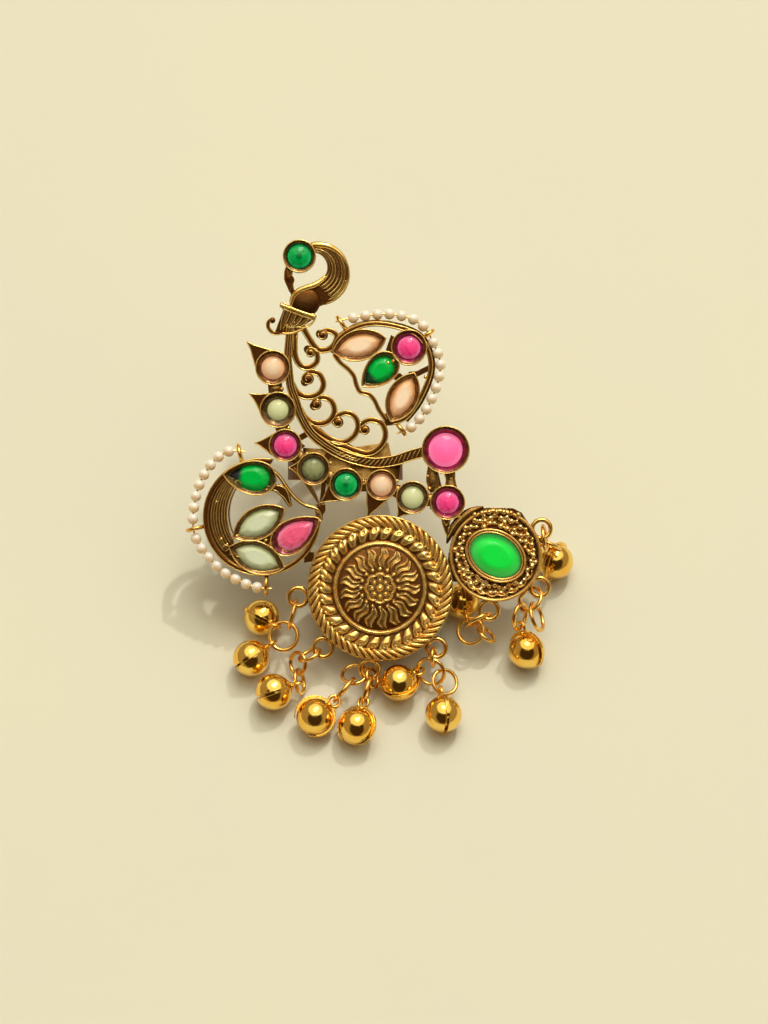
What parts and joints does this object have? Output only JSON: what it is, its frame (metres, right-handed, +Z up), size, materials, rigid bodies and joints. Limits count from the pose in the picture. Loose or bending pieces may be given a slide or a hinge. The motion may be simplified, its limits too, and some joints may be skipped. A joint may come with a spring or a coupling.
{
  "type": "ghungroo finger ring",
  "caption": "Large finger ring with a cast bird and scroll plate, glass stones, pearl strings, a sun medallion, an oval mount and hanging round bells.",
  "frame": {"origin": "on the ground under the middle of the ring's bounding box, as it lies with its face up", "axes": "+Z up from the ground, +Y from the bells towards the bird's head along the plate's slope, +X towards the oval mount"},
  "size_m": [0.078, 0.0924, 0.046],
  "materials": {
    "plated_brass": "bright gold plate, darkened in the recesses",
    "emerald_glass": "polished, foiled behind",
    "bright_green_glass": "polished, foiled behind",
    "pink_glass": "polished, foiled behind",
    "peach_glass": "polished, milky",
    "pale_green_glass": "polished, milky",
    "grey_green_glass": "polished, cloudy",
    "mint_glass": "polished, milky",
    "pearl": "pearl lacquer"
  },
  "bodies": {
    "root": {"frame": "plated_brass", "stone_head": "emerald_glass", "stone_big_pink": "pink_glass", "stone_upper_round": "pink_glass", "stone_oval": "bright_green_glass", "pearls_upper": "pearl", "pearls_left": "pearl", "pearl_wire_upper": "plated_brass", "pearl_wire_left": "plated_brass", "stone_row_1": "peach_glass", "stone_row_2": "pale_green_glass", "stone_row_3": "pink_glass", "stone_row_4": "grey_green_glass", "stone_row_5": "emerald_glass", "stone_row_6": "peach_glass", "stone_row_7": "pale_green_glass", "stone_row_8": "pink_glass", "stone_upper_1": "peach_glass", "stone_upper_2": "emerald_glass", "stone_upper_3": "peach_glass", "stone_disc_1": "emerald_glass", "stone_disc_2": "pale_green_glass", "stone_disc_3": "mint_glass", "stone_disc_4": "pink_glass", "link_1": "plated_brass", "link_2": "plated_brass", "link_3": "plated_brass", "link_4": "plated_brass", "link_5": "plated_brass", "link_6": "plated_brass", "link_7": "plated_brass", "link_8": "plated_brass", "link_9": "plated_brass", "link_10": "plated_brass", "link_11": "plated_brass", "link_12": "plated_brass", "link_13": "plated_brass", "link_14": "plated_brass", "link_15": "plated_brass", "link_16": "plated_brass", "link_17": "plated_brass", "link_18": "plated_brass", "link_19": "plated_brass", "link_20": "plated_brass", "bell_1": "plated_brass", "bell_2": "plated_brass", "bell_3": "plated_brass", "bell_4": "plated_brass", "bell_5": "plated_brass", "bell_6": "plated_brass", "bell_7": "plated_brass", "bell_8": "plated_brass", "bell_9": "plated_brass", "bell_10": "plated_brass"}
  },
  "joints": []
}
